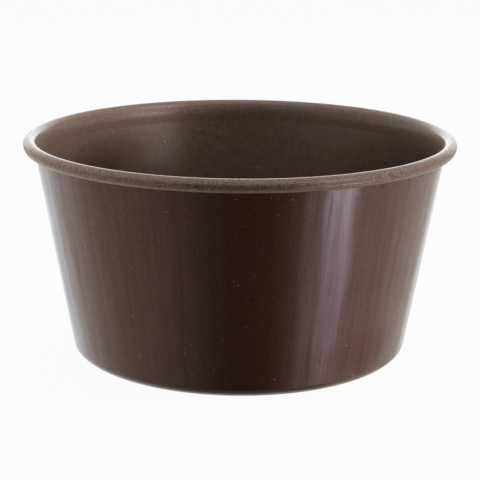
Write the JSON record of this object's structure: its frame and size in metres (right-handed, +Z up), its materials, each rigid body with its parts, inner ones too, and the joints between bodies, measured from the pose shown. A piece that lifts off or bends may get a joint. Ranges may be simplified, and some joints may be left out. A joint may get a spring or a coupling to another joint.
{
  "type": "muffin cup",
  "caption": "Round flat-bottomed metal baking cup with a leaning wall and a rolled rim.",
  "frame": {"origin": "centre of the base's underside", "axes": "+Z up along the cup's axis of symmetry, from the base to the open mouth"},
  "size_m": [0.08, 0.08, 0.0405],
  "materials": {
    "coated_sheet": "glossy dark brown lacquer outside, satin taupe-brown non-stick coating inside and over the rim"
  },
  "bodies": {
    "root": {"cup": "coated_sheet"}
  },
  "joints": []
}
